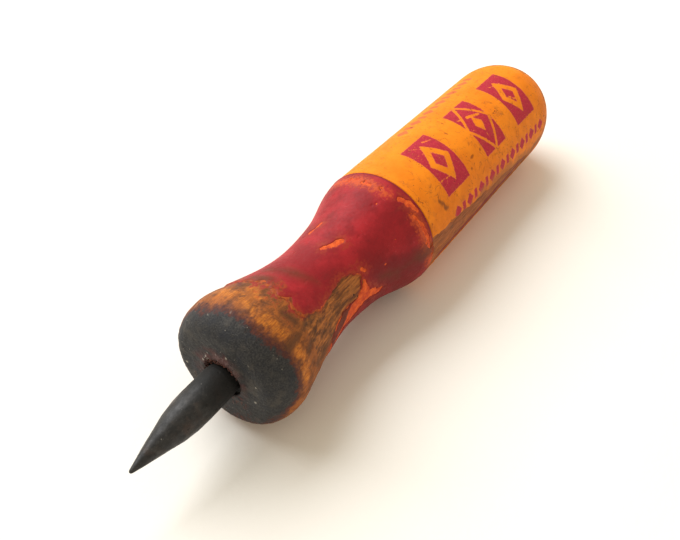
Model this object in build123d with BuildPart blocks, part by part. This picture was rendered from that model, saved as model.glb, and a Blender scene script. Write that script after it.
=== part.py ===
"""Awl: a steel point driven into a turned wooden handle that is finished in lacquer.

The tool lies on its side, as it does on a table.  +X runs along the tool towards the
point, +Z is up, and the origin is on the table under the middle of the tool.  A station
is a distance back from the tip.
"""

import os

from build123d import *

os.makedirs("parts", exist_ok=True)

# ---------------------------------------------------------------- driving dimensions (mm)
overall_length = 118.0
barrel_diameter = 22.2  # over the lacquer, 7/8 in

# Steel point
point_exposed = 17.7  # tip to the front face of the handle
tip_radius = 0.30
taper_length = 12.2  # tip to the full shank
shank_radius = 2.72
shank_end_station = 16.9  # where the shank narrows down to the tang
tang_radius = 2.40
tang_length = 30.0
tang_chamfer = 0.8
ear_height = 0.9  # how far a pinched ear stands out of the tang
ear_length = 5.0
ear_thickness = 0.9
ear_distances = (8.0, 18.0)  # from the start of the tang to each pair of ears

# Turned handle
face_radius = 7.7  # the flat part of the front face
flare_station = 22.7  # the widest place of the front flare
flare_radius = 10.55
ring_station = 58.4  # where the neck meets the barrel, and red meets yellow
dome_station = 105.5  # where the barrel turns into the domed butt
mouth_radius = 3.20  # the worn mouth of the bore, round the shank
mouth_depth = 0.8
bore_spare = 1.5  # empty bore past the end of the tang

# Lacquer
film = 0.15  # the whole thickness, on the barrel and on the neck
undercoat = 0.07  # the orange coat that is the first part of that thickness on the neck
undercoat_start_station = 24.0  # on the back of the flare, forward of which the wood is bare
red_start_station = 25.0
wear_depth = 0.10  # the lacquer is rubbed to a narrow flat where the tool lies

# ---------------------------------------------------------------- derived sizes and places
barrel_radius = barrel_diameter / 2
wood_barrel_radius = barrel_radius - film
dome_length = overall_length - dome_station
axis_height = barrel_radius - wear_depth


def place(station):
    """X of a station."""
    return overall_length / 2 - station


tip_x = place(0)
face_x = place(point_exposed)
flare_x = place(flare_station)
ring_x = place(ring_station)
dome_x = place(dome_station)
tang_x = face_x - mouth_depth
tang_end_x = tang_x - tang_length
bore_end_x = tang_end_x - bore_spare

# Every profile is drawn on this plane, with its second coordinate out from the tool's axis
profile_plane = Plane(origin=(0, 0, axis_height), x_dir=(1, 0, 0), z_dir=(0, -1, 0))
tool_axis = Axis(profile_plane.origin, (1, 0, 0))

# The turned neck, as (station, radius of the wood)
neck_stations = [
    (flare_station, flare_radius),
    (26.0, 9.96),
    (30.5, 8.78),
    (35.2, 7.84),
    (40.0, 7.53),
    (44.7, 7.88),
    (49.2, 8.60),
    (53.4, 9.93),
    (ring_station, wood_barrel_radius),
]


def neck_outline(coat):
    """The neck's outline, flare to ring, with that much lacquer on the wood."""
    points = [(place(station), radius + coat) for station, radius in neck_stations]
    return Spline(points, tangents=[(-1, 0), (-1, 0)])


def dome_outline(coat):
    """The butt's quarter ellipse, barrel to axis, with that much lacquer on the wood."""
    length = dome_length - film + coat
    radius = wood_barrel_radius + coat
    return EllipticalCenterArc((dome_x, 0), length, radius, start_angle=90, arc_size=90)


# ---------------------------------------------------------------- steel point
with BuildPart() as spike:
    with BuildSketch(profile_plane):
        with BuildLine():
            nose = CenterArc((tip_x - tip_radius, 0), tip_radius, 0, 72)
            taper = Spline(
                [
                    nose @ 1,
                    (place(4.2), 1.38),
                    (place(8.0), 2.32),
                    (place(taper_length), shank_radius),
                ],
                tangents=[nose % 1, (-1, 0)],
            )
            Polyline(
                taper @ 1,
                (place(shank_end_station), shank_radius),
                (tang_x, tang_radius),
                (tang_end_x + tang_chamfer, tang_radius),
                (tang_end_x, tang_radius - tang_chamfer),
                (tang_end_x, 0),
                nose @ 0,
            )
        make_face()
    revolve(axis=tool_axis)
    # Ears pinched out of the tang, one pair level and the next pair upright
    for distance, turn in zip(ear_distances, (0, 90)):
        ear_x = tang_x - distance
        for side in (0, 180):
            with BuildSketch(profile_plane.rotated((turn + side, 0, 0))):
                with BuildLine():
                    Polyline(
                        (ear_x, tang_radius / 2),
                        (ear_x, tang_radius + ear_height),
                        (ear_x - ear_length, tang_radius),
                        (ear_x - ear_length, tang_radius / 2),
                        close=True,
                    )
                make_face()
            extrude(amount=ear_thickness / 2, both=True)
spike.part.label = "spike"
export_step(spike.part, "parts/spike.step")

# ---------------------------------------------------------------- turned wooden handle
with BuildPart() as handle:
    with BuildSketch(profile_plane):
        with BuildLine():
            Line((face_x, 0), (face_x, face_radius))
            EllipticalCenterArc(
                (flare_x, face_radius),
                face_x - flare_x,
                flare_radius - face_radius,
                start_angle=0,
                arc_size=90,
            )
            neck = neck_outline(0)
            Line(neck @ 1, (dome_x, wood_barrel_radius))
            dome = dome_outline(0)
            Line(dome @ 1, (face_x, 0))
        make_face()
    revolve(axis=tool_axis)
    # The drilled bore, with its worn mouth and the drill's conical end
    with BuildSketch(profile_plane):
        with BuildLine():
            Polyline(
                (face_x, 0),
                (face_x, mouth_radius),
                (tang_x, mouth_radius),
                (tang_x, tang_radius),
                (bore_end_x, tang_radius),
                (bore_end_x - tang_radius / 2, 0),
                close=True,
            )
        make_face()
    revolve(axis=tool_axis, mode=Mode.SUBTRACT)
    # The ears bite their own seats in the wood
    add(spike.part, mode=Mode.SUBTRACT)
handle.part.label = "handle"
export_step(handle.part, "parts/handle.step")

# ---------------------------------------------------------------- yellow lacquer
with BuildPart() as yellow_lacquer:
    with BuildSketch(profile_plane):
        with BuildLine():
            inner_dome = dome_outline(0)
            outer_dome = dome_outline(film)
            Line(inner_dome @ 1, outer_dome @ 1)
            Polyline(
                inner_dome @ 0,
                (ring_x, wood_barrel_radius),
                (ring_x, barrel_radius),
                outer_dome @ 0,
            )
        make_face()
    revolve(axis=tool_axis)
    # The narrow flat that the tool lies on
    split(bisect_by=Plane.XY, keep=Keep.TOP)
yellow_lacquer.part.label = "yellow_lacquer"
export_step(yellow_lacquer.part, "parts/yellow_lacquer.step")

# ---------------------------------------------------------------- neck coats
# The name of each coat, the heights of its inside and outside above the wood, and its start
neck_coats = [
    ("orange_undercoat", 0, undercoat, undercoat_start_station),
    ("red_lacquer", undercoat, film, red_start_station),
]
for coat_name, inside, outside, start_station in neck_coats:
    with BuildPart() as neck_coat:
        with BuildSketch(profile_plane):
            with BuildLine():
                inner_neck = neck_outline(inside)
                outer_neck = neck_outline(outside)
                Line(inner_neck @ 0, outer_neck @ 0)
                Line(inner_neck @ 1, outer_neck @ 1)
            make_face()
        revolve(axis=tool_axis)
        # The coat ends on the back of the flare, and shares the flat that the tool lies on
        split(bisect_by=Plane.YZ.offset(place(start_station)), keep=Keep.BOTTOM)
        split(bisect_by=Plane.XY, keep=Keep.TOP)
    neck_coat.part.label = coat_name
    export_step(neck_coat.part, f"parts/{coat_name}.step")
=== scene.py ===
import itertools
import math

import bmesh
import bpy
import numpy as np
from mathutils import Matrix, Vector


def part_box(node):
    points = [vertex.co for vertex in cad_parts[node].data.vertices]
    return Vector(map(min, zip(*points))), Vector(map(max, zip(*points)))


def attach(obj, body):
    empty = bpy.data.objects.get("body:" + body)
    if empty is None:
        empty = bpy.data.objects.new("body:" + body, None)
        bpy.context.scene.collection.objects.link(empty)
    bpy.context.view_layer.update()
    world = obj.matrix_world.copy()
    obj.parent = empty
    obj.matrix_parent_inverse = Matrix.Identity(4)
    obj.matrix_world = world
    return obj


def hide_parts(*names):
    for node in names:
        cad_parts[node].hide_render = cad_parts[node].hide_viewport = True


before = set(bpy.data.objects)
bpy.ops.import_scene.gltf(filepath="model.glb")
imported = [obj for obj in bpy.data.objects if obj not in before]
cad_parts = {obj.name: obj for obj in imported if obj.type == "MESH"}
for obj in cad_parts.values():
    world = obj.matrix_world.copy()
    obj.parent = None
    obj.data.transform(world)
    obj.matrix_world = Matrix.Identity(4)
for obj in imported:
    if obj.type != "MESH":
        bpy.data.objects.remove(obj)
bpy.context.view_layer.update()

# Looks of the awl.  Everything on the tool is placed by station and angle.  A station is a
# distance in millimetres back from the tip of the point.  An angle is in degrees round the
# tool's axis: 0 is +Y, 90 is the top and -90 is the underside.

MM = 0.001
BODY = "root"
TIP_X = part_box("spike")[1].x
AXIS_Z = sum(corner.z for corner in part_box("handle")) / 2

# ---- sizes, in mm
# Stations read from the frame
FACE = (TIP_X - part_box("handle")[1].x) / MM
BUTT = (TIP_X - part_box("yellow_lacquer")[0].x) / MM
RING = (TIP_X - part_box("yellow_lacquer")[1].x) / MM
TANG_END = (TIP_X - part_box("spike")[0].x) / MM
# Stations and radii that the frame's boxes don't show
DOME = 105.5
FLARE = 22.7
SHANK_END = 16.9
TANG_START = 18.5
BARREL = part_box("yellow_lacquer")[1].y / MM
FLARE_RADIUS = 10.55
FACE_RADIUS = 7.7
MOUTH_RADIUS = 3.2
MOUTH_ROUNDING = 0.22
SHANK_RADIUS = 2.72
TANG_RADIUS = 2.4
TANG_CHAMFER = 0.8
BORE_SPARE = 1.5
EAR_HEIGHT = 0.9
EAR_LENGTH = 5.0
# Coats: their thickness, how far worn places sink into the wood, and how deep insides lie
FILM = 0.15
UNDERCOAT = 0.07
SUNK = 0.24
COAT_DEPTH = 0.45
UNDERCOAT_START = 24.0
RED_START = 25.0
# The point leans this far at its tip, towards this angle
LEAN = 0.45
LEAN_ANGLE = -32

# The turned neck and the point's ogive, as (station, radius)
NECK = [
    (FLARE, FLARE_RADIUS),
    (26.0, 9.96),
    (30.5, 8.78),
    (35.2, 7.84),
    (40.0, 7.53),
    (44.7, 7.88),
    (49.2, 8.60),
    (53.4, 9.93),
    (RING, BARREL - FILM),
]
OGIVE = [
    (0, 0.02), (0.05, 0.17), (0.25, 0.30), (1.6, 0.68), (4.2, 1.38), (8.0, 2.32), (10.2, 2.64),
    (12.2, SHANK_RADIUS),
]


# ---- curves and noise
def smoothstep(value, low, high):
    t = np.clip((value - low) / (high - low), 0, 1)
    return t * t * (3 - 2 * t)


def ridge_at(value, middle, width):
    """1 at the middle, falling to 0 a few widths away."""
    return np.exp(-(((value - middle) / width) ** 2))


def level_ended_spline(points, x):
    """A cubic through the points that is level at both ends."""
    px, py = np.array(points, float).T
    gap = np.diff(px)
    count = len(px)
    rows = np.eye(count)
    right = np.zeros(count)
    for i in range(1, count - 1):
        rows[i, i - 1 : i + 2] = gap[i], 2 * (gap[i - 1] + gap[i]), gap[i - 1]
        rise = (py[i + 1] - py[i]) / gap[i] * gap[i - 1] + (py[i] - py[i - 1]) / gap[i - 1] * gap[i]
        right[i] = 3 * rise
    slope = np.linalg.solve(rows, right)
    i = np.clip(np.searchsorted(px, x) - 1, 0, count - 2)
    t = (x - px[i]) / gap[i]
    end = t * t * (3 - 2 * t)
    lean = t * (1 - t) ** 2 * slope[i] - t * t * (1 - t) * slope[i + 1]
    return (1 - end) * py[i] + end * py[i + 1] + gap[i] * lean


def noise(points, size, seed, octaves=1):
    """Smooth noise from -1 to 1 at points in mm, with features of about that size."""
    total = 0
    for octave in range(octaves):
        table = np.random.default_rng(seed + octave).uniform(-1, 1, (32, 32, 32))
        scaled = points / (size / 2**octave)
        cell = np.floor(scaled).astype(int)
        part = scaled - cell
        part = part * part * (3 - 2 * part)
        layer = 0
        for corner in itertools.product((0, 1), repeat=3):
            index = (cell + corner) % 32
            weight = np.prod(np.where(np.array(corner), part, 1 - part), axis=-1)
            layer = layer + weight * table[index[..., 0], index[..., 1], index[..., 2]]
        total = total + layer / 2**octave
    return total


# ---- lathe surfaces
def point_at(station, radius, angle):
    """The point in mm, in the row frame, at a station, a distance from the axis and an angle."""
    turn = np.radians(angle)
    x = TIP_X / MM - station
    y = radius * np.cos(turn)
    z = AXIS_Z / MM + radius * np.sin(turn)
    return np.stack([x, y, z], axis=-1)


class Surface:
    """An outline carried round the tool's axis.  Relief moves its points along its normals."""

    def __init__(self, outline, segments):
        station, radius = np.array(outline, float).T
        along = np.gradient(station), np.gradient(radius)
        length = np.maximum(np.hypot(*along), 1e-9)
        one = np.ones((len(station), segments))
        self.station = station[:, None] * one
        self.radius = radius[:, None] * one
        self.angle = np.arange(segments) * 360 / segments * one
        self.normal = -(along[1] / length)[:, None], (along[0] / length)[:, None]
        self.points = self.place(0)

    def place(self, relief):
        """The points in mm, in the row frame, with that relief."""
        station = self.station + relief * self.normal[0]
        radius = self.radius + relief * self.normal[1]
        return point_at(station, radius, self.angle)

    def offset(self, station, angle):
        """How far each point is from a place, along the tool and round it, in mm."""
        turn = (self.angle - angle + 180) % 360 - 180
        return self.station - station, np.radians(turn) * self.radius

    def edge(self, places):
        """A value for each angle, from a closed list of (angle, value)."""
        angles, values = np.array(places, float).T
        return np.interp((self.angle + 180) % 360 - 180, angles, values, period=360)

    def first_rings(self, count):
        """True on the first rings, which are a sleeve's outside."""
        return np.arange(len(self.station))[:, None] < count


def cover(shape):
    """Evenly spaced stations over (from, to, spacing) stretches."""
    return np.concatenate(
        [np.linspace(a, b, max(2, round(abs(b - a) / gap)), endpoint=False) for a, b, gap in shape]
    )


def end_caps(points, index, after):
    """A middle point for each end of a tube of rings, and the triangles round it."""
    middles = points[[0, -1]].mean(axis=1)
    middles[:, 0] = points[[0, -1], 0, 0]
    first = index.size
    last = first + 1
    triangles = [(first, int(a), int(b)) for a, b in zip(index[0], after[0])]
    triangles += [(int(a), last, int(b)) for a, b in zip(index[-1], after[-1])]
    return middles, triangles


def linked(name, data):
    """A new object of that mesh, lamp or camera, in the scene."""
    item = bpy.data.objects.new(name, data)
    bpy.context.scene.collection.objects.link(item)
    return item


def mesh_of(name, points, closed, values):
    """A mesh from rings of points.  Closed joins the last ring to the first; otherwise each end
    is closed at its middle.  Values are float attributes, one array each."""
    rings, segments = points.shape[:2]
    corners = points.reshape(-1, 3).copy()
    index = np.arange(rings * segments).reshape(rings, segments)
    after = np.roll(index, -1, axis=1)
    triangles = []
    if closed:
        below, below_after = np.roll(index, -1, axis=0), np.roll(after, -1, axis=0)
        quads = np.stack([index, below, below_after, after], axis=-1).reshape(-1, 4)
    else:
        quads = np.stack([index[:-1], index[1:], after[1:], after[:-1]], axis=-1).reshape(-1, 4)
        middles, triangles = end_caps(points, index, after)
        corners = np.vstack([corners, middles])
    # Nothing reaches below what the tool lies on
    corners[:, 2] = np.maximum(corners[:, 2], 0)
    mesh = bpy.data.meshes.new(name)
    mesh.from_pydata((corners * MM).tolist(), [], quads.tolist() + triangles)
    for key, value in values.items():
        layer = mesh.attributes.new(key, "FLOAT", "POINT")
        flat = np.zeros(len(corners), np.float32)
        flat[: rings * segments] = (value * np.ones((rings, segments))).ravel()
        layer.data.foreach_set("value", flat)
    mesh.shade_smooth()
    mesh.validate()
    return linked(name, mesh)


# ---- shapes drawn on a surface
# Each gives a distance in mm to the shape's edge, positive inside it.
def stroke(skin, start, end, width, tail):
    """A stroke from one (station, angle) to another, going from one width to another, the tail."""
    middle = (start[1] + end[1]) / 2
    first, last = (
        np.stack([np.full_like(skin.radius, station), np.radians(angle - middle) * skin.radius])
        for station, angle in (start, end)
    )
    run = last - first
    here = np.stack(skin.offset(0, middle)) - first
    t = np.clip((here * run).sum(0) / (run * run).sum(0), 0, 1)
    away = np.hypot(*(here - t * run))
    return (width + (tail - width) * t) / 2 - away


def strokes(skin, paths):
    """The farthest inside any of the strokes."""
    return np.max([stroke(skin, *path) for path in paths], axis=0)


def patch(skin, corners):
    """A polygon with (station, angle) corners."""
    middle = sum(angle for _, angle in corners) / len(corners)
    u, v = skin.offset(0, middle)
    inside = np.zeros(u.shape, bool)
    nearest = np.full(u.shape, np.inf)
    for (u0, a0), (u1, a1) in zip(corners, corners[1:] + corners[:1]):
        v0, v1 = (np.radians(angle - middle) * skin.radius for angle in (a0, a1))
        run_u, run_v = u1 - u0, v1 - v0
        t = np.clip(((u - u0) * run_u + (v - v0) * run_v) / (run_u**2 + run_v**2), 0, 1)
        nearest = np.minimum(nearest, np.hypot(u - u0 - t * run_u, v - v0 - t * run_v))
        crossing = u0 + (v - v0) * run_u / np.where(run_v == 0, 1e-9, run_v)
        inside ^= ((v0 > v) != (v1 > v)) & (u < crossing)
    return np.where(inside, nearest, -nearest)


def tile(u, v, half_u, half_v):
    return np.minimum(half_u - abs(u), half_v - abs(v))


def lozenge(u, v, half_u, half_v):
    return (1 - abs(u) / half_u - abs(v) / half_v) * half_u * half_v / math.hypot(half_u, half_v)


def ragged(skin, shape, amount, size, seed):
    """The same shape with a torn edge."""
    return shape + amount * noise(skin.points, size, seed, 3)


def dots(skin, places):
    """1 in small uneven spots at (station, radius, angle) places, of three sizes in turn."""
    spots = np.zeros(skin.station.shape)
    uneven = 0.07 * noise(skin.points, 0.3, 201)
    for number, place in enumerate(places):
        away = np.linalg.norm(skin.points - point_at(*place), axis=-1) + uneven
        spots = np.maximum(spots, smoothstep(away, 0.27 - 0.06 * (number % 3), 0.06))
    return spots


# ---- where each coat is left
# How far back the red starts, as (angle, station)
RED_EDGE = [
    (-180, 27.5), (-130, 29.0), (-80, 27.0), (-35, 31.0), (0, 32.0), (25, 32.0), (37, 32.2),
    (44, 29.4), (49, 28.0), (55, 27.4), (61, 27.5), (67, 28.4), (76, 27.5), (91, 27.9), (105, 28.2),
    (115, 27.3), (140, 26.8), (165, 29.0),
]
# Worn through to the wood, and chipped to the orange, as (station, angle) corners
WEDGE = [
    (42.7, 33), (40.9, 42), (39.3, 46), (36.6, 43.5), (34.3, 40.5), (32.0, 38), (29.5, 45),
    (22.0, 46), (22.0, 2), (32.7, 1), (34.3, 8.5), (36.5, 12.7), (38.3, 13.6), (40.2, 12), (41.9, 19),
]
FLAKES = [
    (42.6, 29), (41.6, 19), (39.9, 11), (38.2, 7), (36.3, -3), (34.0, -12), (32.5, -18), (34.5, -20),
    (36.3, -9.5), (38.8, -10), (40.9, -4), (43.4, -2), (45.8, -7), (46.9, -3), (45.0, 2), (43.4, 8),
    (43.0, 18),
]
BACK_WEDGE = [
    (44.0, -128), (38.0, -116), (30.0, -112), (24.0, -118), (24.0, -142), (33.0, -140), (38.0, -134),
]
BARE_STRIP = [
    (57.5, 14.5), (62.4, 11.8), (64.6, 11.8), (66.8, 9.4), (70.3, 8.6), (76.0, 5.0), (84.9, 1.2),
    (95.0, -5.5), (100.0, -12), (98.0, -18), (90.0, -21), (66.0, -24), (57.5, -25),
]
BACK_STRIP = [
    (74.0, -150), (82.0, -146), (96.0, -147), (103.0, -152), (97.0, -157), (84.0, -158), (76.0, -155),
]
# Chips and rubbed lines, as (start, end, width at the start, width at the end)
NECK_CHIPS = [
    ((41.1, 88.0), (42.3, 82.5), 0.45, 0.6), ((42.3, 82.5), (44.3, 77.0), 0.75, 0.85),
    ((43.3, 37.5), (43.9, 33.5), 0.4, 0.3), ((43.9, 121), (46.4, 116.5), 0.32, 0.22),
    ((56.4, 64.0), (57.1, 55.0), 0.6, 1.15), ((57.1, 55.0), (57.6, 46.0), 1.05, 0.4),
    ((56.3, 45.0), (56.9, 30.0), 0.35, 0.6), ((56.9, 28.0), (57.2, 10.0), 0.6, 0.45),
    ((49.3, -62), (51.8, -70), 0.9, 0.5), ((36.5, 168), (39.4, 160), 0.7, 0.4),
    ((47.5, -158), (44.6, -150), 0.8, 0.5), ((54.5, 200), (55.8, 214), 0.8, 0.5),
]
RING_WORN = [
    ((56.2, 134), (56.1, 104), 1.5, 2.1), ((56.1, 104), (55.7, 74), 2.0, 1.0),
    ((56.2, 44), (56.6, 8), 1.3, 1.6), ((57.9, 10), (58.0, -7), 3.5, 3.0),
]
BAND_WIDTH = 0.42
BAND_GAP = ((RING, 9), (RING, -24), 2.0, 2.6)


def band_width(skin):
    """Distance inside the raised band beside the yellow, which is rubbed off near the bare strip."""
    band = ragged(skin, skin.station - RING + BAND_WIDTH, 0.08, 0.8, 71)
    return np.minimum(band, -ragged(skin, stroke(skin, *BAND_GAP), 0.5, 0.8, 73))


def red_left(skin):
    """Distance inside what is left of the red coat."""
    torn = 0.4 + 0.9 * smoothstep(skin.offset(30, 68)[1], -1.5, 1.5)
    left = ragged(skin, skin.station - skin.edge(RED_EDGE) - 0.4, torn, 2.4, 11)
    worn = ragged(skin, strokes(skin, RING_WORN), 1.3, 0.8, 61) - 1.45
    for gone in (
        ragged(skin, patch(skin, WEDGE), 0.3, 1.2, 21),
        ragged(skin, patch(skin, FLAKES), 0.3, 1.0, 31),
        ragged(skin, patch(skin, BACK_WEDGE), 0.5, 1.6, 41),
        ragged(skin, strokes(skin, NECK_CHIPS), 0.2, 0.7, 51),
        worn,
    ):
        left = np.minimum(left, -gone)
    return np.maximum(left, band_width(skin))


def orange_left(skin):
    """Distance inside what is left of the orange undercoat."""
    left = ragged(skin, skin.station - skin.edge(RED_EDGE) - 0.2, 1.2, 1.6, 12)
    for gone in (
        ragged(skin, patch(skin, WEDGE), 0.3, 1.0, 22),
        ragged(skin, patch(skin, BACK_WEDGE) - 0.5, 0.5, 1.3, 42),
        ragged(skin, strokes(skin, RING_WORN), 1.3, 0.6, 62) - 1.5,
    ):
        left = np.minimum(left, -gone)
    return left


def yellow_left(skin):
    """Distance inside what is left of the yellow coat."""
    left = -ragged(skin, patch(skin, BARE_STRIP), 0.3, 1.6, 91)
    return np.minimum(left, -ragged(skin, patch(skin, BACK_STRIP), 0.5, 1.5, 95))


def film_height(left, top, slope=0.25):
    """The outside of a coat above the wood: its top where it is left, sunk in the wood elsewhere."""
    return -SUNK + (top + SUNK) * smoothstep(left, -slope / 2, slope / 2)


# ---- worn and stained places
# As (start, end, width at the start, width at the end), unless said otherwise
NECK_BROWN = [
    ((32.6, 113), (33.6, 88), 0.8, 1.4), ((33.6, 88), (35.0, 64), 1.4, 0.4),
    ((29.5, 108), (30.0, 96), 1.0, 0.8), ((57.2, 5), (53.5, 6), 1.8, 1.2),
    ((53.5, 6), (50.0, 4), 1.2, 0.4), ((46.5, 12), (50.0, 4), 1.0, 1.6),
    ((36.5, 5), (32.0, -4), 1.6, 2.2),
]
FLARE_GLOW = [
    ((23.8, 10), (24.3, 33), 2.3, 2.0), ((22.3, 8), (22.0, 0), 1.0, 0.8),
    ((23.6, 48), (23.2, 66), 1.6, 2.2), ((23.0, 78), (24.2, 96), 1.6, 1.4),
    ((23.6, 104), (24.6, 120), 1.8, 2.2), ((25.6, 84), (26.4, 98), 0.9, 1.2),
    ((20.4, -20), (18.6, -42), 0.8, 1.2), ((18.6, -42), (18.4, -75), 1.2, 0.8),
]
FLARE_SHADE = [
    ((37.0, 43), (29.0, 42), 0.5, 0.9), ((29.0, 42), (22.5, 40), 0.9, 1.6),
    ((27.0, 3), (35.0, 6), 1.6, 0.8), ((26.4, 108), (28.0, 122), 1.0, 0.8),
    ((26.0, 62), (26.6, 50), 0.9, 1.1), ((33.5, 26), (40.0, 29), 0.4, 0.3),
    ((30.0, 18), (38.0, 22), 0.6, 0.3), ((25.8, 24), (31.0, 34), 0.8, 0.5),
]
LOW_LINE = [
    ((61.0, -19), (81.0, -18), 1.3, 1.9), ((81.0, -18), (90.0, -15), 1.9, 1.1),
    ((90.0, -15), (99.0, -10), 1.0, 0.5),
]
BUTT_SCUFFS = [
    ((108.6, 112), (111.2, 92), 1.0, 2.0), ((111.2, 92), (113.2, 54), 2.2, 3.4),
    ((113.2, 54), (111.4, 14), 3.4, 2.6), ((111.4, 14), (107.6, -3), 2.6, 2.4),
    ((107.6, -3), (99.0, -17), 2.4, 1.2), ((108.0, -60), (110.0, -120), 1.6, 2.4),
    ((80.0, 140), (91.0, 137), 0.3, 1.1), ((91.0, 137), (104.0, 139), 1.1, 0.5),
]
SMUDGES = [((63.4, 37), (64.6, 27), 0.9, 1.1), ((67.2, 9), (64.8, 13), 0.8, 0.6)]
INK_SCRATCHES = [
    ((68.0, 92), (69.5, 83), 0.16, 0.10), ((71.6, 88), (73.6, 84), 0.3, 0.15),
    ((67.4, 80), (68.6, 78), 0.22, 0.1), ((69.4, 72), (69.6, 66), 0.16, 0.08),
    ((66.4, 49), (70.6, 46), 0.22, 0.12), ((68.2, 47), (67.6, 44), 0.16, 0.08),
    ((84.6, 76), (87.6, 71), 0.7, 0.5), ((82.0, 80), (83.4, 77), 0.35, 0.2),
    ((82.4, 64), (82.9, 61), 0.25, 0.12), ((97.4, 84), (100.6, 80), 0.25, 0.1),
    ((98.6, 62), (99.9, 55), 0.5, 0.2), ((85.2, 52), (85.0, 46), 0.2, 0.08),
]
# Knocks in the neck, as (station, angle, size, depth)
NECK_KNOCKS = [
    (53.3, 75.5, 0.6, 0.11), (52.7, 78, 0.45, 0.1), (49.5, 104, 0.4, 0.08), (46.8, 66, 0.5, 0.08),
    (38.5, 112, 0.45, 0.10), (51.5, 38, 0.5, 0.09), (48.0, 22, 0.6, 0.10), (33.5, 70, 0.5, 0.08),
]
# Specks of dirt on the face and its rim, as (station, radius, angle)
DUST = [
    (18.9, 9.2, 114), (21.0, 10.35, 90), (19.0, 9.4, 63), (17.7, 7.3, -170), (17.7, 5.1, 76),
    (17.7, 8.1, 49), (17.7, 3.6, 124), (17.7, 4.1, 129), (17.7, 3.9, 137), (17.7, 3.5, 131),
    (18.3, 8.7, 121), (17.7, 6.6, 20), (17.7, 5.9, -12), (18.5, 9.0, 126), (17.7, 4.6, 99),
    (19.6, 9.8, 107), (17.7, 3.8, 146), (17.7, 4.5, 121),
]
# How far back the black of the face reaches, as (angle, station)
GRIME_EDGE = [
    (-180, 18.6), (-95, 18.2), (-70, 18.0), (-40, 18.1), (-13, 19.0), (0, 20.6), (11, 21.4),
    (24, 21.9), (37, 21.5), (47, 21.3), (55, 20.4), (66, 20.4), (80, 20.8), (90, 20.5), (100, 20.0),
    (116, 19.7), (133, 19.4), (160, 18.6),
]
# How much painted shade the coats get on the side away from the lamp, as (angle, share)
SHADED_SIDE = [(-180, 0), (-80, 0.5), (-10, 1), (20, 0.9), (48, 0.35), (66, 0), (180, 0)]


# ---- outlines
def neck_radius(station):
    return level_ended_spline(NECK, station)


def dome_curve(count):
    """The wood's domed butt from the barrel to just short of its pole."""
    turn = np.linspace(0, math.pi / 2, count, endpoint=False)
    length, radius = BUTT - DOME - FILM, BARREL - FILM
    return [(DOME + length * math.sin(t), radius * math.cos(t)) for t in turn]


def bore_outline():
    """The bore from its conical end to its worn mouth."""
    bore_end = TANG_END + BORE_SPARE
    outline = [(bore_end + TANG_RADIUS / 2, 0.05), (bore_end, TANG_RADIUS)]
    outline += [(u, TANG_RADIUS) for u in cover([(bore_end - 0.5, TANG_START + 0.3, 2.0)])]
    outline += [(TANG_START, TANG_RADIUS + 0.05), (TANG_START, 2.8), (TANG_START - 0.05, MOUTH_RADIUS)]
    outline += [(u, MOUTH_RADIUS) for u in cover([(TANG_START - 0.2, FACE + 0.25, 0.15)])]
    for t in (0.2, 0.7, 1.2):
        station = FACE + MOUTH_ROUNDING * (1 - math.sin(t))
        outline.append((station, MOUTH_RADIUS + MOUTH_ROUNDING * (1 - math.cos(t))))
    return outline


def wood_outline():
    outline = bore_outline()
    outline += [(FACE, r) for r in cover([(MOUTH_RADIUS + 0.25, FACE_RADIUS, 0.16)])]
    for t in np.linspace(0, math.pi / 2, 34, endpoint=False):
        radius = FACE_RADIUS + (FLARE_RADIUS - FACE_RADIUS) * math.sin(t)
        outline.append((FLARE - (FLARE - FACE) * math.cos(t), radius))
    neck = cover([(FLARE, 32.0, 0.2), (32.0, 44.0, 0.25), (44.0, RING, 0.4)])
    outline += list(zip(neck, neck_radius(neck)))
    outline += [(u, BARREL - FILM) for u in cover([(RING, 100.0, 0.55), (100.0, DOME, 0.9)])]
    return outline + dome_curve(16)


def sleeve_surface(start, end, spacing, segments):
    """A neck coat, and which of its points are outside.  Its inside is coarse, and sunk in the wood."""
    stations = np.append(cover([(start, RING, spacing)]), end)
    radii = neck_radius(stations)
    coarse = cover([(start, RING, 2.0)])
    outer = list(zip(stations, radii))
    inner = list(zip(coarse, np.interp(coarse, stations, radii) - COAT_DEPTH))
    skin = Surface(outer + inner[::-1], segments)
    return skin, skin.first_rings(len(stations))


# ---- pieces
def worn_wood_relief(skin, on_barrel, orange, mottle):
    """Open grain where the wood is bare, and hollows where it is rubbed."""
    grain = noise(skin.points * [0.12, 1, 1], 0.5, 101, 2)
    bare_barrel = smoothstep(-yellow_left(skin), -0.1, 0.3)
    bare = np.where(on_barrel, bare_barrel, smoothstep(-orange, -0.1, 0.4))
    relief = -0.04 * bare * (0.5 + grain) + 0.05 * mottle * bare
    relief -= 0.05 * smoothstep(patch(skin, WEDGE), 0.2, 1.6)
    relief -= 0.06 * smoothstep(patch(skin, BARE_STRIP), 0.3, 2.0)
    return relief


def face_relief(skin, mottle, ridge):
    """The face: a low crusty lip round the mouth, then slightly hollow, with fine end grain."""
    lip = ridge_at(skin.radius - MOUTH_RADIUS, 0.55, 0.45)
    heaped = 0.10 * np.cos(np.radians(skin.angle - 105))
    crust = 0.14 + 0.13 * noise(skin.points, 0.9, 105, 2) + heaped
    end_grain = 0.03 * noise(skin.points, 0.35, 107)
    return 0.16 * ridge * (1 + 0.5 * mottle) + 0.05 * mottle + end_grain + lip * np.maximum(crust, 0)


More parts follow.
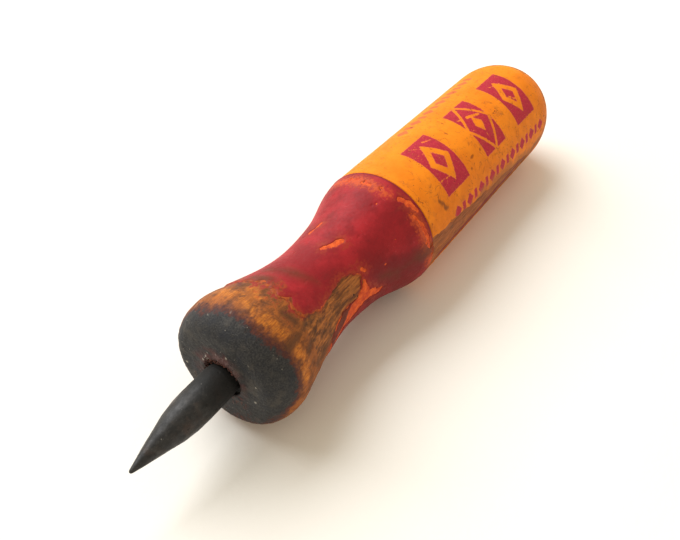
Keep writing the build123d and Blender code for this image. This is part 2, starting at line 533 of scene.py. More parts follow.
def make_wood():
    skin = Surface(wood_outline(), 312)
    orange = orange_left(skin)
    outside = (skin.station < FACE + 0.4) | (skin.radius > 5)
    on_face = outside & (skin.station < FACE + 0.4)
    on_barrel = skin.station > RING
    mottle = noise(skin.points, 2.5, 103, 3)
    ridge = ridge_at(skin.radius, 4.3, 0.5)
    ridge *= smoothstep(abs(skin.offset(FACE, 72)[1]), 3.6, 1.2)
    on_side = worn_wood_relief(skin, on_barrel, orange, mottle)
    relief = np.where(on_face, face_relief(skin, mottle, ridge), on_side) * outside
    grime = skin.edge(GRIME_EDGE) - skin.station + 0.5 * noise(skin.points, 1.8, 109, 3)
    around = 0.55 + 0.45 * np.cos(np.radians(skin.angle - 100))
    patchy = 0.7 + 0.6 * noise(skin.points, 1.0, 111, 2)
    return mesh_of("handle_wood", skin.place(relief), False, {
        "grime": grime * outside + (~outside) * 3.0,
        "red": np.where(on_barrel, -9, red_left(skin)),
        "orange": np.where(on_barrel, -9, orange),
        "pale": on_barrel * 1.0,
        "glow": strokes(skin, FLARE_GLOW),
        "shade": strokes(skin, FLARE_SHADE),
        "line": ragged(skin, strokes(skin, LOW_LINE), 0.35, 1.1, 113),
        "wedge": smoothstep(patch(skin, WEDGE), -0.3, 0.5) * (skin.station > 27.5),
        "dust": dots(skin, DUST),
        "rust": smoothstep(skin.radius, 6.8, 3.9) * around * patchy * on_face,
        "ridge": ridge * on_face,
        # Marks the bore's inside, which gets near-black painted shade
        "bore": (~outside) * 1.0,
    })


def make_undercoat():
    skin, outer = sleeve_surface(UNDERCOAT_START, RING, 0.26, 400)
    left = orange_left(skin)
    height = film_height(left, UNDERCOAT) + 0.02 * noise(skin.points, 0.8, 121, 2)
    front = skin.station - skin.edge(RED_EDGE)
    return mesh_of("orange_undercoat_coat", skin.place(np.where(outer, height, 0)), True, {
        "left": left,
        "front": smoothstep(front, 3.0, 0.5) * (skin.offset(30, 60)[1] > -4),
    })


def neck_dents(skin):
    """The depth of the small knocks in the neck's finish."""
    depth = 0
    for station, angle, size, deep in NECK_KNOCKS:
        u, v = skin.offset(station, angle)
        depth = depth + deep * np.exp(-(u * u + (v * 1.7) ** 2) / (size / 1.6) ** 2)
    return depth


def make_red():
    skin, outer = sleeve_surface(RED_START, RING - 0.01, 0.2, 440)
    left = red_left(skin)
    band = band_width(skin)
    dents = neck_dents(skin)
    front = skin.station - skin.edge(RED_EDGE)
    height = film_height(left, FILM, 0.25 + 0.9 * smoothstep(front, 3.0, 1.2))
    height += 0.05 * smoothstep(band, -0.12, 0.15) * (skin.station < RING - 0.05)
    brushed = 0.025 * noise(skin.points, 3.0, 131, 2) + 0.012 * noise(skin.points, 0.6, 133)
    height += brushed * (left > 0) - dents
    return mesh_of("red_lacquer_coat", skin.place(np.where(outer, height, 0)), True, {
        "left": left,
        "band": band,
        "dent": dents,
        "worn": strokes(skin, RING_WORN),
        "brown": strokes(skin, NECK_BROWN),
        # Painted shade on the side away from the lamp, by angle
        "shaded_side": skin.edge(SHADED_SIDE),
        "front": smoothstep(front, 5.5, 0.3) * smoothstep(skin.offset(30, 68)[1], -1, 2.5),
    })


SLAB_HALF = 4.0, 5.75
SLAB_STATIONS = 70.1, 85.4, 99.3
SLAB_ANGLES = 64, -96
# Rows of beads, as (angle, first station, last station, pitch, a lozenge's half width)
BEAD_HALF_LENGTH = 1.15
BEAD_ROWS = [
    (14.0, 67.6, 105.5, 2.3, 1.15),
    (117.0, 74.0, 101.0, 2.4, 1.2),
    (-40.0, 62.0, 104.5, 2.3, 1.15),
    (-152.0, 66.0, 101.0, 2.4, 1.2),
]


def framed_lozenge(u, v):
    """A slab with a lozenge window, and a small lozenge in the window."""
    half_u, half_v = SLAB_HALF
    window = lozenge(u, v, half_u * 0.78, half_v * 0.78)
    slab = np.minimum(tile(u, v, half_u, half_v), -window)
    return np.maximum(slab, lozenge(u, v, half_u * 0.36, half_v * 0.36))


def cornered_lozenge(u, v):
    """A lozenge with a small lozenge window, and the corners of the slab round it."""
    half_u, half_v = SLAB_HALF
    corners = np.minimum(tile(u, v, half_u, half_v), -lozenge(u, v, half_u * 1.12, half_v * 1.12))
    window = lozenge(u, v, half_u * 0.34, half_v * 0.34)
    ring = np.minimum(lozenge(u, v, half_u * 0.92, half_v * 0.92), -window)
    return np.maximum(ring, corners)


def ornaments(skin):
    """Generic printed shapes: three slabs facing up, the same three underneath, and rows of beads."""
    shapes = []
    for angle, (number, station) in itertools.product(SLAB_ANGLES, enumerate(SLAB_STATIONS)):
        slab = cornered_lozenge if number % 2 else framed_lozenge
        shapes.append(slab(*skin.offset(station, angle)))
    for angle, first, last, pitch, half_v in BEAD_ROWS:
        for number, station in enumerate(np.arange(first, last, pitch)):
            u, v = skin.offset(station, angle)
            if number % 2:
                shapes.append(tile(u, v, BEAD_HALF_LENGTH * 0.45, half_v * 0.8))
            else:
                shapes.append(lozenge(u, v, BEAD_HALF_LENGTH * 1.1, half_v * 1.1))
    return np.max(shapes, axis=0)


def yellow_surface():
    """The barrel's coat, and which of its points are outside.  Its inside is coarse."""
    start = RING + 0.01
    outer = [(u, BARREL - FILM) for u in cover([(start, 101.0, 0.27), (101.0, DOME, 0.4)])]
    outer += dome_curve(30)
    outer.append((BUTT - FILM, 0.03))
    inner = [(u, BARREL - FILM - COAT_DEPTH) for u in cover([(start, DOME, 4.0)])]
    inner += [(u - 0.2, max(r - COAT_DEPTH, 0.02)) for u, r in dome_curve(10)]
    inner.append((BUTT - FILM - COAT_DEPTH, 0.02))
    skin = Surface(outer + inner[::-1], 400)
    return skin, skin.first_rings(len(outer))


def make_yellow():
    skin, outer = yellow_surface()
    left = yellow_left(skin)
    pits = smoothstep(noise(skin.points, 1.1, 145, 2), 0.95, 1.15)
    brushed = 0.02 * noise(skin.points, 4.0, 141, 2) + 0.01 * noise(skin.points, 0.7, 143)
    height = film_height(left, FILM) + brushed * (left > 0) - 0.05 * pits
    ink = ornaments(skin)
    for scratch in INK_SCRATCHES:
        ink = np.minimum(ink, -ragged(skin, stroke(skin, *scratch), 0.08, 0.5, 151))
    near_strip = smoothstep(patch(skin, BARE_STRIP), -3.2, 0)
    return mesh_of("yellow_lacquer_coat", skin.place(np.where(outer, height, 0)), True, {
        "left": left,
        "ink": ink,
        "pit": pits,
        # Painted shade on the side away from the lamp, by angle
        "shaded_side": skin.edge(SHADED_SIDE),
        "worn": near_strip * smoothstep(skin.station, 64, 84),
        "faint": smoothstep(abs(skin.offset(80, 117)[1]), 3.0, 1.8),
        "scuff": strokes(skin, BUTT_SCUFFS) + 1.1 * noise(skin.points, 1.6, 153, 3),
        "smudge": strokes(skin, SMUDGES) + 0.35 * noise(skin.points, 0.8, 155, 2),
    })


def spike_outline():
    """The point, the shank, the short cone and the tang."""
    stations = cover([(0, 0.3, 0.05), (0.3, SHANK_END, 0.08)])
    cone = cover([(SHANK_END, TANG_START, 0.1)])
    tang = cover([(TANG_START, TANG_END - TANG_CHAMFER, 0.2)])
    narrowing = (TANG_RADIUS - SHANK_RADIUS) / (TANG_START - SHANK_END)
    outline = list(zip(stations, np.interp(stations, *np.array(OGIVE).T)))
    outline += [(u, SHANK_RADIUS + narrowing * (u - SHANK_END)) for u in cone]
    outline += [(u, TANG_RADIUS) for u in tang]
    outline += [(TANG_END - TANG_CHAMFER, TANG_RADIUS), (TANG_END, TANG_RADIUS - TANG_CHAMFER)]
    return outline + [(TANG_END, 0.1)]


def soften_ogive(skin):
    """Rounds off the joints of the ogive's straight stretches."""
    kernel = np.hanning(17) / np.hanning(17).sum()
    radius = skin.radius[:, 0]
    soft = np.convolve(np.pad(radius, 8, mode="edge"), kernel, mode="valid")
    share = smoothstep(skin.station[:, 0], 0.6, 2.0) * (skin.station[:, 0] < 15)
    skin.radius += ((soft - radius) * share)[:, None]


def tang_ears(skin):
    """How far the tang's ears stand out: one pair level, and the next pair upright."""
    height = 0
    for distance, turn in ((8.0, 0), (18.0, 90)):
        along = skin.station - (TANG_START + distance)
        on_ear = (along >= 0) & (along < EAR_LENGTH)
        for side in (0, 180):
            across = skin.offset(0, turn + side)[1]
            wall = smoothstep(0.55 - abs(across), 0, 0.15)
            height = height + wall * EAR_HEIGHT * np.clip(1 - along / EAR_LENGTH, 0, 1) * on_ear
    return height


def make_spike():
    skin = Surface(spike_outline(), 192)
    soften_ogive(skin)
    steel = skin.station < TANG_START
    forged = 0.03 * noise(skin.points * [0.5, 1, 1], 1.6, 161, 2)
    forged += 0.012 * noise(skin.points, 0.35, 163, 2)
    pits = smoothstep(noise(skin.points, 0.55, 165, 2), 0.75, 1.1)
    relief = (forged - 0.05 * pits) * steel * smoothstep(skin.radius, 0.2, 1.2)
    points = skin.place(relief + tang_ears(skin))
    share = np.clip(1 - skin.station / FACE, 0, 1) ** 1.15
    towards = math.radians(LEAN_ANGLE)
    points[..., 1] += LEAN * share * math.cos(towards)
    points[..., 2] += LEAN * share * math.sin(towards)
    # Darker towards the handle's mouth, along an uneven line
    uneven_station = skin.station + 1.2 * noise(skin.points, 2.0, 169, 2)
    return mesh_of("spike_steel", points, False, {
        "pit": pits * steel,
        "bright": smoothstep(noise(skin.points, 1.2, 167, 3), 0.5, 1.3),
        "dark_near_mouth": smoothstep(uneven_station, 9.5, 15.0),
    })


def make_crumbs():
    """Grains of rust and dirt round the mouth of the bore."""
    random = np.random.default_rng(171)
    corners, faces = [], []
    for _ in range(110):
        angle = random.normal(112, 42)
        radius = MOUTH_RADIUS + random.normal(0.1, 0.3)
        size = random.uniform(0.10, 0.26)
        stretch = random.uniform(0.6, 1.4, 3)
        centre = point_at(FACE + 0.02, radius, angle)
        phase = math.radians(angle) * 7
        grain = bmesh.new()
        bmesh.ops.create_icosphere(grain, subdivisions=2, radius=1)
        start = len(corners)
        for vertex in grain.verts:
            wave = math.sin(5 * vertex.co.x + phase) * math.cos(4 * vertex.co.y + radius * 9)
            corner = centre + np.array(vertex.co) * stretch * size * (1 + 0.25 * wave)
            corners.append((corner * MM).tolist())
        faces += [[start + vertex.index for vertex in face.verts] for face in grain.faces]
        grain.free()
    mesh = bpy.data.meshes.new("mouth_crumbs")
    mesh.from_pydata(corners, [], faces)
    mesh.shade_smooth()
    return linked("mouth_crumbs", mesh)


# ---- shaders
class Shader:
    """A material built by short calls.  Sockets and plain numbers can both be given as inputs."""

    def __init__(self, name):
        self.material = bpy.data.materials.new(name)
        self.material.use_nodes = True
        self.tree = self.material.node_tree
        self.principled = self.tree.nodes["Principled BSDF"]
        self.position = self.scaled(self.node("TexCoord").outputs["Object"], (1 / MM,) * 3)

    def give(self, socket, value):
        if isinstance(value, bpy.types.NodeSocket):
            self.tree.links.new(value, socket)
        elif hasattr(value, "__len__") and len(value) == 3 and socket.type == "RGBA":
            socket.default_value = (*value, 1)
        else:
            socket.default_value = value

    def node(self, kind, **inputs):
        """A new node with those inputs, named with underscores for spaces."""
        node = self.tree.nodes.new("ShaderNode" + kind)
        for name, value in inputs.items():
            self.give(node.inputs[name.replace("_", " ")], value)
        return node

    def scaled(self, vector, scale, location=(0, 0, 0)):
        return self.node("Mapping", Vector=vector, Scale=scale, Location=location).outputs[0]

    def noise(self, size, detail, roughness, stretch=(1, 1, 1), seed=0, distortion=0.0):
        """Noise from 0 to 1 with features of that size in mm, longer along an axis by stretch."""
        scale = tuple(1 / (size * s) for s in stretch)
        place = self.scaled(self.position, scale, (seed, seed * 1.7, seed * 0.6))
        node = self.node("TexNoise", Vector=place, Scale=1.0, Detail=detail, Distortion=distortion)
        node.inputs["Roughness"].default_value = roughness
        return node.outputs["Fac"]

    def specks(self, size, radius, seed):
        """1 in small round spots, fewer than one to each cell of that size in mm, else 0."""
        place = self.scaled(self.position, (1 / size,) * 3, (seed, seed * 1.3, seed * 0.7))
        cells = self.node("TexVoronoi", Vector=place, Scale=1.0).outputs
        spot = self.ramp(cells["Distance"], radius, radius * 0.55)
        share = self.node("SeparateColor", Color=cells["Color"]).outputs[0]
        return self.math("MULTIPLY", spot, self.ramp(share, 0.55, 0.6))

    def rings(self, spacing, centre, distortion):
        """Growth rings about a line along X through that (y, z) in mm."""
        place = self.scaled(self.position, (0.05, 1, 1), (0, -centre[0], -centre[1]))
        node = self.node("TexWave", Vector=place, Distortion=distortion, Detail=3.0, Detail_Scale=0.6)
        node.inputs["Scale"].default_value = 0.314 / spacing
        node.wave_type = "RINGS"
        node.rings_direction = "X"
        return node.outputs["Fac"]

    def field(self, name):
        """The mesh's float attribute of that name."""
        node = self.node("Attribute")
        node.attribute_name = name
        return node.outputs["Fac"]

    def math(self, operation, a, b=0.0):
        node = self.node("Math")
        node.operation = operation
        self.give(node.inputs[0], a)
        self.give(node.inputs[1], b)
        return node.outputs[0]

    def ramp(self, value, low, high, to_low=0.0, to_high=1.0):
        """A smooth step from to_low at low to to_high at high."""
        node = self.node("MapRange")
        node.interpolation_type = "SMOOTHSTEP"
        for socket, given in zip(node.inputs[:5], (value, low, high, to_low, to_high)):
            self.give(socket, given)
        return node.outputs[0]

    def mix(self, share, a, b):
        node = self.node("Mix")
        node.data_type = "RGBA"
        self.give(node.inputs[0], share)
        self.give(node.inputs[6], a)
        self.give(node.inputs[7], b)
        return node.outputs[2]

    def product(self, *values):
        result = values[0]
        for value in values[1:]:
            result = self.math("MULTIPLY", result, value)
        return result

    def uneven(self, name, value, low, high, to_low, to_high):
        """A field of the mesh plus a ramp of a noise, which makes its edge ragged."""
        return self.math("ADD", self.field(name), self.ramp(value, low, high, to_low, to_high))

    def bump(self, height, distance, below=None):
        """A normal from a height of that many mm, on top of the bump below."""
        node = self.node("Bump", Distance=distance * MM, Strength=1.0, Height=height)
        if below is not None:
            self.give(node.inputs["Normal"], below)
        return node.outputs[0]

    def finish(self, color, roughness, normal, **fixed):
        given = {"Base Color": color, "Roughness": roughness, "Normal": normal, **fixed}
        for name, value in given.items():
            self.give(self.principled.inputs[name.replace("_", " ")], value)
        return self.material


# ---- bare wood
def neck_wood(s, fibres, broad, mottle):
    """Brown wood with growth rings, and glowing places on the flare."""
    color = s.mix(s.ramp(mottle, 0.32, 0.68), (0.105, 0.034, 0.011), (0.34, 0.098, 0.018))
    color = s.mix(s.product(s.ramp(broad, 0.42, 0.68), 0.75), color, (0.44, 0.128, 0.018))
    rings = s.rings(1.1, (6.5, -15.0), 3.0)
    color = s.mix(s.product(s.ramp(rings, 0.2, 0.9), 0.25), color, (0.16, 0.05, 0.014))
    color = s.mix(s.ramp(fibres, 0.5, 0.25, 0.0, 0.3), color, (0.085, 0.030, 0.011))
    blotch = s.noise(0.55, 4, 0.65, (1.5, 1, 1), 14)
    glow = s.uneven("glow", s.mix(0.5, mottle, blotch), 0.35, 0.65, -0.9, 0.6)
    glowing = s.mix(s.ramp(fibres, 0.3, 0.65), (0.32, 0.080, 0.011), (0.62, 0.205, 0.022))
    return s.mix(s.ramp(glow, -0.6, 1.0, 0.0, 0.85), color, glowing)


def barrel_wood(s, fibres, broad, mottle):
    """Wood that is cleaner and paler than the neck's."""
    color = s.mix(s.ramp(fibres, 0.3, 0.7), (0.17, 0.045, 0.013), (0.40, 0.115, 0.024))
    color = s.mix(s.product(s.ramp(broad, 0.45, 0.7), 0.5), color, (0.46, 0.125, 0.020))
    return s.mix(s.product(s.ramp(mottle, 0.45, 0.3), 0.6), color, (0.12, 0.045, 0.02))


def stained(s, color, mottle):
    """The orange and the red left in the grain, the clean worn wedge, shaded places and pores."""
    orange = s.uneven("orange", mottle, 0.3, 0.75, -2.6, 2.6)
    color = s.mix(s.ramp(orange, -2.4, 0.8, 0.0, 0.45), color, (0.44, 0.080, 0.012))
    red = s.uneven("red", mottle, 0.3, 0.7, -2.6, 2.2)
    color = s.mix(s.ramp(red, -1.6, 0.3, 0.0, 0.88), color, (0.27, 0.018, 0.016))
    streaks = s.noise(0.45, 4, 0.6, (9, 1, 1), 8)
    clean = s.mix(s.ramp(streaks, 0.32, 0.66), (0.095, 0.032, 0.011), (0.47, 0.155, 0.030))
    color = s.mix(s.product(s.field("wedge"), 0.92), color, clean)
    shade = s.uneven("shade", mottle, 0.3, 0.72, -0.5, 0.5)
    color = s.mix(s.ramp(shade, -0.6, 0.5, 0.0, 0.7), color, (0.060, 0.026, 0.011))
    pores = s.ramp(s.noise(0.16, 2, 0.5, (8, 1, 1), 9), 0.60, 0.72)
    color = s.mix(s.product(pores, s.ramp(mottle, 0.35, 0.6), 0.7), color, (0.030, 0.013, 0.006))
    flare = s.math("SUBTRACT", 1.0, s.field("pale"))
    return s.mix(s.product(s.specks(2.4, 0.10, 11), flare), color, (0.018, 0.009, 0.005))


def black_grime(s, speckle):
    """Black with warm and cold clouds, scrapes, rust round the mouth and a rubbed ridge."""
    color = s.mix(s.ramp(speckle, 0.3, 0.75), (0.013, 0.0135, 0.016), (0.050, 0.048, 0.047))
    clouds = s.noise(2.2, 4, 0.62, seed=17)
    color = s.mix(s.product(s.ramp(clouds, 0.5, 0.68), 0.65), color, (0.068, 0.059, 0.051))
    color = s.mix(s.product(s.ramp(clouds, 0.5, 0.3), 0.6), color, (0.016, 0.018, 0.025))
    scrapes = s.ramp(s.noise(0.13, 1, 0.5, (1, 7, 1.5), 18), 0.66, 0.74)
    color = s.mix(s.product(scrapes, 0.45), color, (0.10, 0.095, 0.088))
    color = s.mix(s.ramp(s.field("rust"), 0.1, 0.8, 0.0, 0.8), color, (0.082, 0.030, 0.028))
    ridge = s.product(s.field("ridge"), s.ramp(speckle, 0.35, 0.6), 0.65)
    return s.mix(ridge, color, (0.155, 0.098, 0.095))


def grimy(s, color, speckle):
    """Black grime on the face and over its rim, with a maroon border and pale dirt on it."""
    border = s.uneven("grime", s.noise(0.6, 4, 0.65, seed=13), 0.25, 0.75, -0.7, 0.7)
    color = s.mix(s.ramp(border, -2.3, -0.2, 0.0, 0.9), color, (0.050, 0.015, 0.017))
    color = s.mix(s.ramp(border, -0.5, 0.5), color, black_grime(s, speckle))
    flecks = s.product(s.specks(0.9, 0.085, 19), s.ramp(border, -0.6, 0.3), 0.8)
    color = s.mix(flecks, color, (0.34, 0.31, 0.26))
    return s.mix(s.field("dust"), color, (0.40, 0.37, 0.32))


def wood_material():
    s = Shader("worn_wood")
    fibres = s.noise(0.24, 4, 0.6, (12, 1, 1), 3)
    broad = s.noise(1.8, 4, 0.6, (2.2, 1, 1), 5)
    mottle = s.noise(1.3, 5, 0.68, seed=7)
    speckle = s.noise(0.22, 3, 0.7, seed=15)
    pale = s.field("pale")
    color = s.mix(pale, neck_wood(s, fibres, broad, mottle), barrel_wood(s, fibres, broad, mottle))
    line = s.product(s.ramp(s.field("line"), -0.12, 0.12), pale)
    color = s.mix(line, color, (0.20, 0.012, 0.014))
    color = grimy(s, stained(s, color, mottle), speckle)
    # Painted shade: the inside of the bore is painted near black
    color = s.mix(s.field("bore"), color, (0.005, 0.004, 0.003))
    normal = s.bump(speckle, 0.03, s.bump(fibres, 0.04))
    return s.finish(color, s.ramp(fibres, 0.2, 0.8, 0.72, 0.55), normal, Specular_IOR_Level=0.22)


# ---- coats
def orange_material():
    s = Shader("orange_undercoat")
    tone = s.noise(0.8, 4, 0.65, seed=21)
    streaks = s.noise(0.25, 3, 0.6, (8, 1, 1), 23)
    color = s.mix(s.ramp(tone, 0.3, 0.7), (0.48, 0.040, 0.010), (0.82, 0.135, 0.020))
    color = s.mix(s.ramp(streaks, 0.5, 0.75, 0.0, 0.45), color, (0.30, 0.05, 0.016))
    # Painted shade: darker just inside the coat's broken edges
    color = s.mix(s.ramp(s.field("left"), 0.35, 0.0, 0.0, 0.6), color, (0.28, 0.06, 0.016))
    rubbed = s.mix(s.ramp(tone, 0.35, 0.6), (0.10, 0.030, 0.012), (0.31, 0.068, 0.013))
    color = s.mix(s.product(s.field("front"), 0.85), color, rubbed)
    rough = s.ramp(tone, 0.2, 0.8, 0.58, 0.7)
    return s.finish(color, rough, s.bump(streaks, 0.04), Specular_IOR_Level=0.2)


def red_paint(s, cloud, fine):
    """Crimson with clouds, scratches, rubbed places, painted shade on the side away from the lamp, and
    stains.
    """
    color = s.mix(s.ramp(cloud, 0.35, 0.68), (0.250, 0.010, 0.015), (0.395, 0.017, 0.024))
    color = s.mix(s.ramp(fine, 0.55, 0.8, 0.0, 0.45), color, (0.17, 0.009, 0.013))
    scratches = s.ramp(s.noise(0.14, 1, 0.5, (22, 1, 1), 35), 0.64, 0.72)
    color = s.mix(s.product(scratches, 0.4), color, (0.14, 0.016, 0.02))
    # Painted shade: the side away from the lamp is darkened, unevenly
    side_shade = s.ramp(s.noise(3.0, 4, 0.6, seed=32), 0.25, 0.6, 0.3, 0.85)
    color = s.mix(s.product(s.field("shaded_side"), side_shade), color, (0.155, 0.008, 0.010))
    bright = s.ramp(s.noise(0.12, 1, 0.5, (1, 16, 4), 38), 0.69, 0.75, 0.0, 0.35)
    color = s.mix(s.product(bright, s.ramp(cloud, 0.45, 0.6)), color, (0.50, 0.08, 0.085))
    stains = s.ramp(s.noise(2.4, 5, 0.68, (2.5, 1, 1), 36), 0.54, 0.72)
    return s.mix(s.product(stains, 0.4), color, (0.150, 0.016, 0.015))


def red_wear(s, color, cloud, fine):
    """Thin and faded near its edges, with painted shade along its broken edges, rubbed at its front,
    worn at the ring, dark in the dents.
    """
    thin = s.uneven("left", fine, 0.25, 0.75, -0.8, 0.8)
    patchy = s.ramp(s.noise(1.6, 3, 0.6, seed=39), 0.35, 0.6)
    color = s.mix(s.product(s.ramp(thin, 1.5, -0.2), patchy, 0.8), color, (0.33, 0.042, 0.016))
    rubbed = s.uneven("front", s.noise(1.3, 5, 0.7, (1.6, 1, 1), 34), 0.3, 0.7, -0.75, 0.35)
    brownish = s.mix(s.ramp(fine, 0.35, 0.65), (0.135, 0.028, 0.012), (0.36, 0.060, 0.014))
    color = s.mix(s.ramp(rubbed, 0.36, 0.85, 0.0, 0.8), color, brownish)
    # Painted shade: a dark line just inside the coat's broken edges
    color = s.mix(s.ramp(s.field("left"), 0.13, 0.0, 0.0, 0.7), color, (0.085, 0.012, 0.012))
    worn = s.uneven("worn", fine, 0.25, 0.75, -0.9, 0.9)
    color = s.mix(s.ramp(worn, -0.8, 1.0, 0.0, 0.9), color, (0.58, 0.085, 0.020))
    brown = s.uneven("brown", cloud, 0.3, 0.7, -0.8, 0.8)
    color = s.mix(s.ramp(brown, -1.8, 1.2, 0.0, 0.82), color, (0.115, 0.026, 0.011))
    color = s.mix(s.ramp(s.field("band"), -0.12, 0.05, 0.0, 0.75), color, (0.20, 0.010, 0.022))
    return s.mix(s.ramp(s.field("dent"), 0.05, 0.14, 0.0, 0.6), color, (0.10, 0.009, 0.014))


def red_material():
    s = Shader("red_lacquer")
    cloud = s.noise(5.0, 4, 0.6, seed=31)
    fine = s.noise(0.5, 4, 0.65, seed=33)
    turned = s.noise(0.2, 2, 0.5, (1, 9, 9), 37)
    color = red_wear(s, red_paint(s, cloud, fine), cloud, fine)
    normal = s.bump(fine, 0.045, s.bump(turned, 0.02))
    rough = s.ramp(fine, 0.25, 0.8, 0.46, 0.64)
    return s.finish(color, rough, normal, Specular_IOR_Level=0.26, IOR=1.38)


def yellow_paint(s, fine, dirt, cracks):
    """Yellow-orange with clouds, dirt, scratches, painted shade on the side away from the lamp, and
    dark hair cracks.
    """
    cloud = s.noise(6.0, 4, 0.6, seed=41)
    color = s.mix(s.ramp(cloud, 0.3, 0.7), (0.80, 0.208, 0.006), (0.90, 0.264, 0.010))
    color = s.mix(s.ramp(dirt, 0.5, 0.78, 0.0, 0.55), color, (0.60, 0.150, 0.010))
    color = s.mix(s.ramp(fine, 0.58, 0.8, 0.0, 0.45), color, (0.52, 0.14, 0.015))
    scratches = s.ramp(s.noise(0.11, 1, 0.5, (1, 14, 5), 47), 0.70, 0.76)
    scratches = s.product(scratches, s.ramp(dirt, 0.45, 0.6), 0.5)
    color = s.mix(scratches, color, (0.26, 0.07, 0.010))
    # Painted shade: the side away from the lamp is darkened, unevenly
    side_shade = s.ramp(s.noise(2.4, 4, 0.6, seed=42), 0.25, 0.65, 0.1, 0.6)
    color = s.mix(s.product(s.field("shaded_side"), side_shade), color, (0.55, 0.125, 0.008))
    return s.mix(cracks, color, (0.24, 0.045, 0.006))


def printed(s, color, fine):
    """The crimson shapes, with gaps and a paler fringe."""
    edge = s.uneven("ink", s.noise(0.35, 2, 0.5, seed=49), 0.2, 0.8, -0.09, 0.09)
    color = s.mix(s.ramp(edge, -0.24, -0.02, 0.0, 0.45), color, (0.66, 0.155, 0.055))
    crimson = s.mix(s.ramp(fine, 0.3, 0.75), (0.38, 0.016, 0.034), (0.50, 0.028, 0.058))
    gaps = s.ramp(s.noise(0.16, 1, 0.4, seed=51), 0.66, 0.74, 1.0, 0.25)
    faint = s.math("SUBTRACT", 1.0, s.product(s.field("faint"), 0.6))
    return s.mix(s.product(s.ramp(edge, -0.05, 0.05), gaps, faint), color, crimson)


def yellow_wear(s, color, dirt):
    """Wear beside the bare strip, specks, pits, smudges, the scuffed butt, and painted shade along the
    chipped edges.
    """
    worn = s.uneven("worn", dirt, 0.3, 0.7, -0.35, 0.35)
    color = s.mix(s.ramp(worn, 0.1, 1.0, 0.0, 0.75), color, (0.36, 0.125, 0.035))
    color = s.mix(s.product(s.specks(1.7, 0.075, 53), 0.8), color, (0.11, 0.024, 0.007))
    color = s.mix(s.product(s.field("pit"), 0.8), color, (0.24, 0.050, 0.008))
    color = s.mix(s.ramp(s.field("smudge"), -0.15, 0.35, 0.0, 0.8), color, (0.15, 0.045, 0.016))
    scuff = s.uneven("scuff", dirt, 0.3, 0.7, -0.8, 0.8)
    color = s.mix(s.ramp(scuff, -1.3, 2.2, 0.0, 0.8), color, (0.19, 0.062, 0.018))
    # Painted shade: a dark line just inside the coat's chipped edges
    return s.mix(s.ramp(s.field("left"), 0.16, 0.02, 0.0, 0.7), color, (0.16, 0.06, 0.022))


def yellow_material():
    s = Shader("yellow_lacquer")
    fine = s.noise(0.45, 4, 0.65, seed=43)
    dirt = s.noise(1.8, 5, 0.68, seed=45)
    wander = s.math("SUBTRACT", s.noise(3.4, 3, 0.55, seed=57, distortion=1.2), 0.5)
    hairs = s.ramp(s.math("ABSOLUTE", wander), 0.008, 0.002)
    cracks = s.product(hairs, s.ramp(dirt, 0.40, 0.55), 0.8)
    color = printed(s, yellow_paint(s, fine, dirt, cracks), fine)
    color = yellow_wear(s, color, dirt)
    normal = s.bump(s.noise(0.25, 2, 0.5, (1, 7, 7), 55), 0.015)
    normal = s.bump(cracks, -0.03, s.bump(fine, 0.025, normal))
    rough = s.ramp(fine, 0.25, 0.8, 0.55, 0.74)
    return s.finish(color, rough, normal, Specular_IOR_Level=0.25, IOR=1.35)


# ---- steel, crumbs and floor
def steel_material():
    s = Shader("blackened_steel")
    scale = s.noise(0.7, 5, 0.68, (1.6, 1, 1), 61)
    fine = s.noise(0.18, 3, 0.7, seed=63)
    color = s.mix(s.ramp(scale, 0.3, 0.75), (0.011, 0.011, 0.0118), (0.031, 0.030, 0.0305))
    rust = s.ramp(s.noise(2.5, 4, 0.6, seed=65), 0.5, 0.75, 0.0, 0.6)
    color = s.mix(rust, color, (0.050, 0.030, 0.023))
    color = s.mix(s.ramp(fine, 0.60, 0.75, 0.0, 0.45), color, (0.095, 0.092, 0.088))
    color = s.mix(s.product(s.specks(1.2, 0.08, 67), 0.7), color, (0.36, 0.34, 0.31))
    color = s.mix(s.product(s.field("pit"), 0.7), color, (0.010, 0.008, 0.007))
    color = s.mix(s.product(s.field("bright"), 0.3), color, (0.085, 0.080, 0.075))
    dust = s.ramp(s.noise(0.14, 2, 0.6, seed=69), 0.62, 0.72)
    color = s.mix(s.product(dust, s.ramp(scale, 0.4, 0.6), 0.5), color, (0.16, 0.15, 0.14))
    # Darker and rougher towards the handle's mouth
    color = s.mix(s.product(s.field("dark_near_mouth"), 0.75), color, (0.007, 0.0065, 0.006))
    rough = s.ramp(s.field("dark_near_mouth"), 0.0, 1.0, s.ramp(scale, 0.25, 0.8, 0.54, 0.38), 0.7)
    return s.finish(color, rough, s.bump(fine, 0.03), Metallic=0.2, Specular_IOR_Level=0.38)


def crumb_material():
    s = Shader("rust_crumbs")
    tone = s.noise(0.3, 3, 0.6, seed=71)
    color = s.mix(s.ramp(tone, 0.35, 0.7), (0.030, 0.014, 0.013), (0.13, 0.052, 0.040))
    color = s.mix(s.specks(0.9, 0.30, 73), color, (0.50, 0.44, 0.33))
    return s.finish(color, 0.85, s.bump(tone, 0.05), Specular_IOR_Level=0.25)


def floor_material():
    s = Shader("pale_floor")
    soft = s.noise(60.0, 3, 0.5, seed=81)
    color = s.mix(s.ramp(soft, 0.3, 0.7), (0.83, 0.81, 0.775), (0.87, 0.85, 0.82))
    normal = s.bump(s.noise(0.9, 2, 0.5, seed=83), 0.03)
    return s.finish(color, 0.75, normal, Specular_IOR_Level=0.25)


# ---- the tool
def place_piece(piece, material, node=None):
    piece.data.materials.append(material)
    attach(piece, BODY)
    if node:
        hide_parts(node)


place_piece(make_wood(), wood_material(), "handle")
place_piece(make_undercoat(), orange_material(), "orange_undercoat")
place_piece(make_red(), red_material(), "red_lacquer")
place_piece(make_yellow(), yellow_material(), "yellow_lacquer")
place_piece(make_spike(), steel_material(), "spike")
place_piece(make_crumbs(), crumb_material())


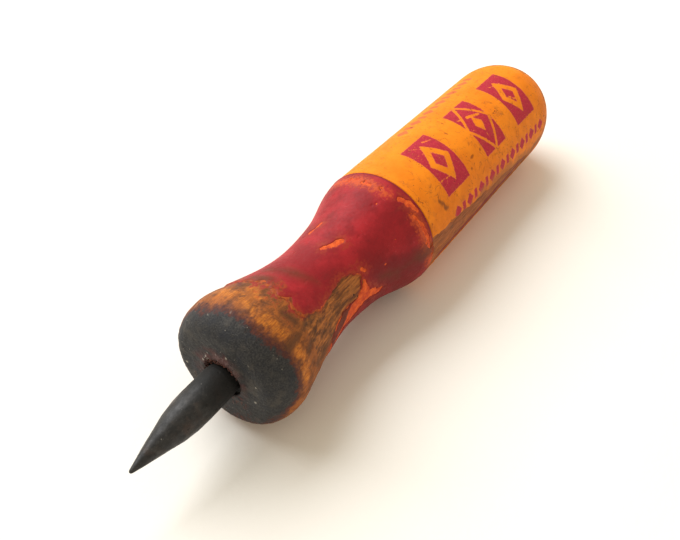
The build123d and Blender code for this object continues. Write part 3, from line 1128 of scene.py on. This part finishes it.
# ---- floor, light and camera
# In metres and degrees
FLOOR_HALF = 1.5
WORLD_COLOR = (1.0, 0.895, 0.70)
WORLD_STRENGTH = 0.72
WINDOW_PLACE = (-0.10, -0.78, 0.92)
WINDOW_TARGET = (0, 0, 0)
WINDOW_SIZE = (1.2, 1.0)
WINDOW_POWER = 19.8
WINDOW_COLOR = (0.955, 0.975, 1.0)
CAMERA_FROM_TIP = (0.02299, 0.04795, 0.07481)
CAMERA_HEADING = 214.6
CAMERA_DOWN = 41.9


def make_floor():
    """A square at the height of z = 0."""
    half = FLOOR_HALF
    corners = [(-half, -half, 0), (half, -half, 0), (half, half, 0), (-half, half, 0)]
    mesh = bpy.data.meshes.new("floor")
    mesh.from_pydata(corners, [], [(0, 1, 2, 3)])
    mesh.materials.append(floor_material())
    linked("floor", mesh)


def make_window():
    """The one lamp, a soft area light like a window's."""
    lamp = bpy.data.lights.new("window", "AREA")
    lamp.shape = "RECTANGLE"
    lamp.size, lamp.size_y = WINDOW_SIZE
    lamp.energy = WINDOW_POWER
    lamp.color = WINDOW_COLOR
    light = linked("window", lamp)
    light.location = WINDOW_PLACE
    aim = Vector(WINDOW_TARGET) - Vector(WINDOW_PLACE)
    light.rotation_euler = aim.to_track_quat("-Z", "Y").to_euler()


def make_world():
    world = bpy.data.worlds.new("studio")
    world.use_nodes = True
    background = world.node_tree.nodes["Background"]
    background.inputs["Color"].default_value = (*WORLD_COLOR, 1)
    background.inputs["Strength"].default_value = WORLD_STRENGTH
    bpy.context.scene.world = world


def make_camera():
    """Beyond the point, looking back along the tool and down at it."""
    data = bpy.data.cameras.new("camera")
    data.lens = 36.0
    data.sensor_width = 36.0
    data.clip_start = 0.01
    camera = linked("camera", data)
    camera.location = Vector((TIP_X, 0, AXIS_Z)) + Vector(CAMERA_FROM_TIP)
    heading, down = math.radians(CAMERA_HEADING), math.radians(CAMERA_DOWN)
    camera.rotation_euler = (math.pi / 2 - down, 0, heading - math.pi / 2)
    bpy.context.scene.camera = camera


make_floor()
make_world()
make_window()
make_camera()
bpy.context.scene.view_settings.view_transform = "Standard"
